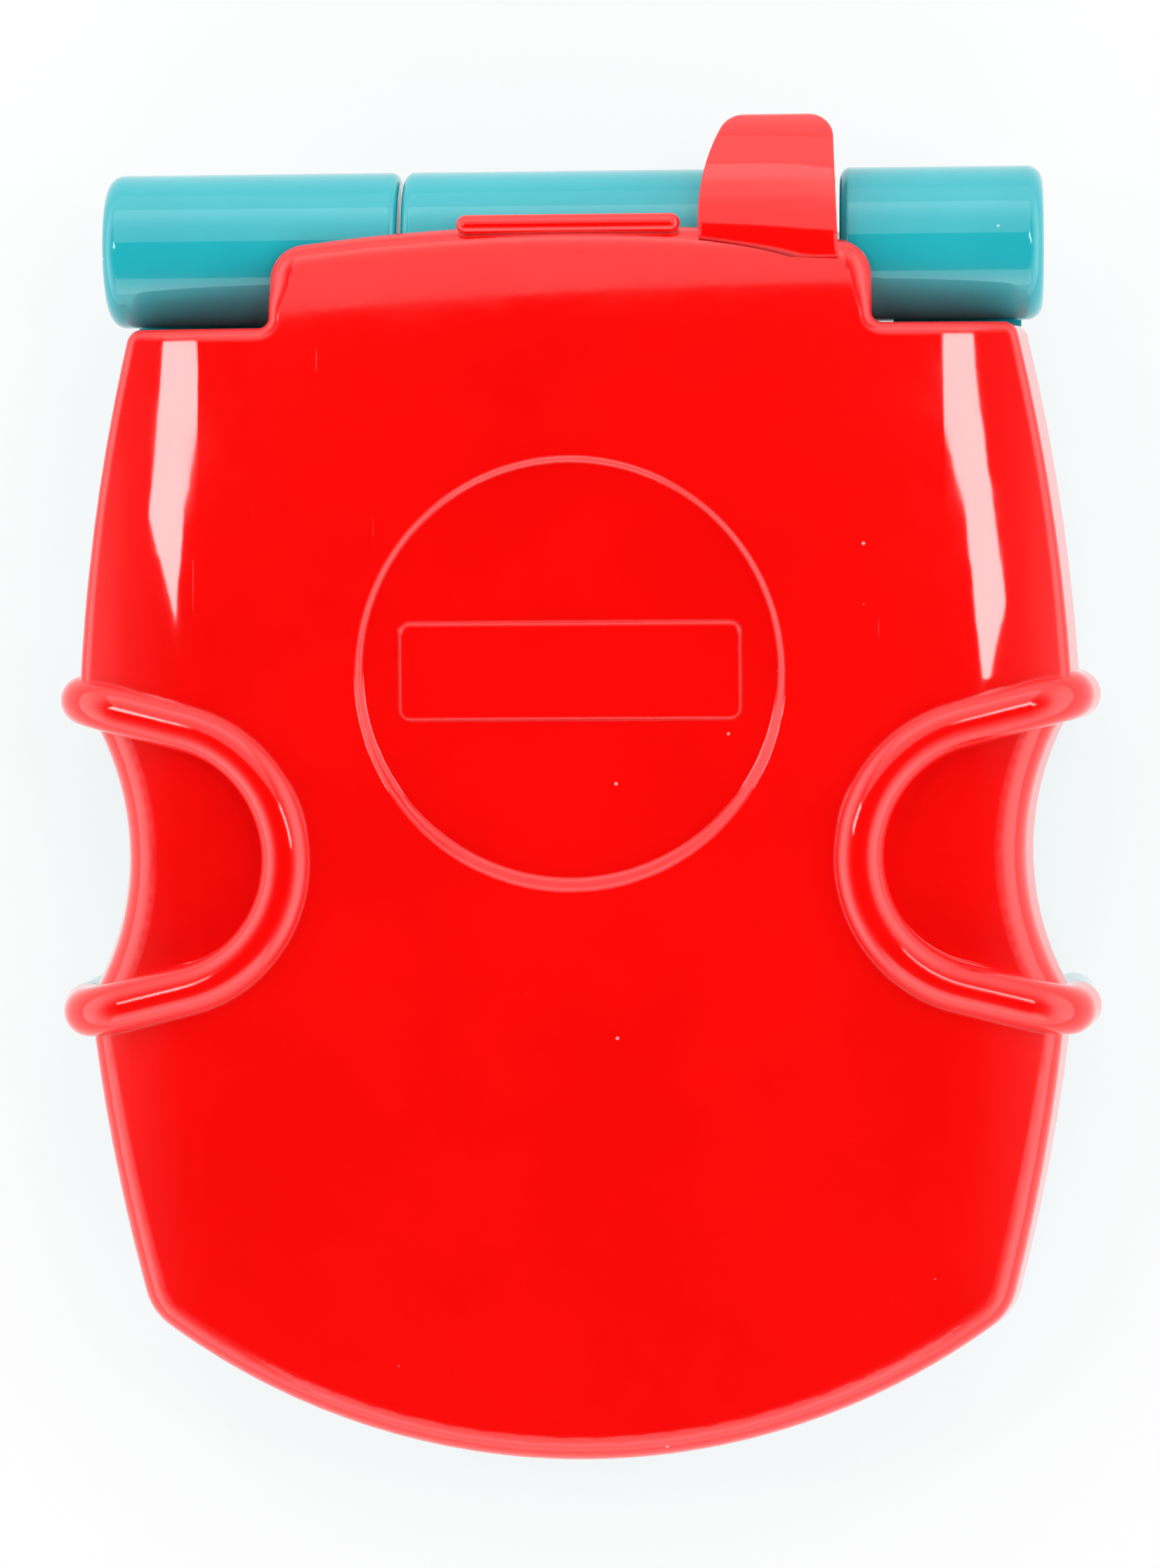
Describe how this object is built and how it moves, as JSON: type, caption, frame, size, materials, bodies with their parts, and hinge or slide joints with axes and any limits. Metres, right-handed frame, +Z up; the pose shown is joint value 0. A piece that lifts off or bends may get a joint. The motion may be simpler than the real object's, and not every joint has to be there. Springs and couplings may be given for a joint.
{
  "type": "toy laptop computer",
  "caption": "Closed clamshell toy laptop: red crowned lid with finger grips and a back tab, hinged on a teal base by a fat barrel; keys, screen card and speaker inside.",
  "frame": {"origin": "middle of the object's box, on the surface that the feet stand on", "axes": "+X to the right, +Y towards the hinge at the back, +Z up"},
  "size_m": [0.205, 0.2636, 0.057],
  "materials": {
    "red_gloss": "glossy moulded red plastic",
    "teal_gloss": "glossy moulded teal plastic",
    "panel_yellow": "satin moulded yellow plastic",
    "clear_lens": "clear plastic window",
    "card_print": "printed picture card",
    "rubber_dark": "soft black rubber",
    "rubber_grey": "grey silicone rubber",
    "steel": "plated steel",
    "key_yellow": "glossy moulded plastic",
    "key_white": "glossy moulded plastic",
    "key_blue": "glossy moulded plastic",
    "key_orange": "glossy moulded plastic",
    "key_green": "glossy moulded plastic",
    "key_red": "glossy moulded plastic",
    "board_green": "green circuit board",
    "chip_black": "black plastic",
    "cone_paper": "pressed black paper",
    "magnet_iron": "dark sintered magnet",
    "light_red": "translucent red plastic",
    "cell_jacket": "plain dark jacket on a steel can"
  },
  "bodies": {
    "base": {"left_hinge_barrel": "teal_gloss", "right_hinge_barrel": "teal_gloss", "hinge_pin": "steel", "base_tub": "teal_gloss", "keyboard_deck": "teal_gloss", "circuit_board": "board_green", "board_screws": "steel", "key_membrane": "rubber_grey", "sound_chip": "chip_black", "speaker_frame": "steel", "speaker_cone": "cone_paper", "speaker_magnet": "magnet_iron", "power_switch": "chip_black", "status_light": "light_red", "batteries": "cell_jacket", "battery_springs": "steel", "battery_contacts": "steel", "battery_door": "teal_gloss", "door_screw": "steel", "rubber_feet": "rubber_dark", "deck_screws": "steel"},
    "lid": {"lid_shell": "red_gloss", "thumb_tab": "red_gloss", "lid_panel": "panel_yellow", "screen_lens": "clear_lens", "picture_card": "card_print", "lid_bumpers": "rubber_dark", "lid_screws": "steel", "middle_hinge_barrel": "teal_gloss"},
    "key_1": {"key_1": "key_yellow"},
    "key_2": {"key_2": "key_white"},
    "key_3": {"key_3": "key_blue"},
    "key_4": {"key_4": "key_orange"},
    "key_5": {"key_5": "key_green"},
    "key_6": {"key_6": "key_red"},
    "key_7": {"key_7": "key_white"},
    "key_8": {"key_8": "key_yellow"},
    "bar_key": {"bar_key": "key_red"},
    "power_slider": {"power_slider": "key_orange"}
  },
  "joints": [
    {"name": "lid_hinge", "type": "hinge", "parent": "base", "child": "lid", "pos_m": [0, 0.10687, 0.03], "axis": [-1, 0, 0], "range_deg": [0, 105]},
    {"name": "key_1_press", "type": "slide", "parent": "base", "child": "key_1", "axis": [0, 0, -1], "range_m": [0, 0.002], "stiffness_N_per_m": 250, "springref_m": -0.001, "deforming": ["key_membrane"]},
    {"name": "key_2_press", "type": "slide", "parent": "base", "child": "key_2", "axis": [0, 0, -1], "range_m": [0, 0.002], "stiffness_N_per_m": 250, "springref_m": -0.001, "deforming": ["key_membrane"]},
    {"name": "key_3_press", "type": "slide", "parent": "base", "child": "key_3", "axis": [0, 0, -1], "range_m": [0, 0.002], "stiffness_N_per_m": 250, "springref_m": -0.001, "deforming": ["key_membrane"]},
    {"name": "key_4_press", "type": "slide", "parent": "base", "child": "key_4", "axis": [0, 0, -1], "range_m": [0, 0.002], "stiffness_N_per_m": 250, "springref_m": -0.001, "deforming": ["key_membrane"]},
    {"name": "key_5_press", "type": "slide", "parent": "base", "child": "key_5", "axis": [0, 0, -1], "range_m": [0, 0.002], "stiffness_N_per_m": 250, "springref_m": -0.001, "deforming": ["key_membrane"]},
    {"name": "key_6_press", "type": "slide", "parent": "base", "child": "key_6", "axis": [0, 0, -1], "range_m": [0, 0.002], "stiffness_N_per_m": 250, "springref_m": -0.001, "deforming": ["key_membrane"]},
    {"name": "key_7_press", "type": "slide", "parent": "base", "child": "key_7", "axis": [0, 0, -1], "range_m": [0, 0.002], "stiffness_N_per_m": 250, "springref_m": -0.001, "deforming": ["key_membrane"]},
    {"name": "key_8_press", "type": "slide", "parent": "base", "child": "key_8", "axis": [0, 0, -1], "range_m": [0, 0.002], "stiffness_N_per_m": 250, "springref_m": -0.001, "deforming": ["key_membrane"]},
    {"name": "bar_key_press", "type": "slide", "parent": "base", "child": "bar_key", "axis": [0, 0, -1], "range_m": [0, 0.002], "stiffness_N_per_m": 250, "springref_m": -0.001, "deforming": ["key_membrane"]},
    {"name": "power_slide", "type": "slide", "parent": "base", "child": "power_slider", "axis": [1, 0, 0], "range_m": [0, 0.008]}
  ]
}
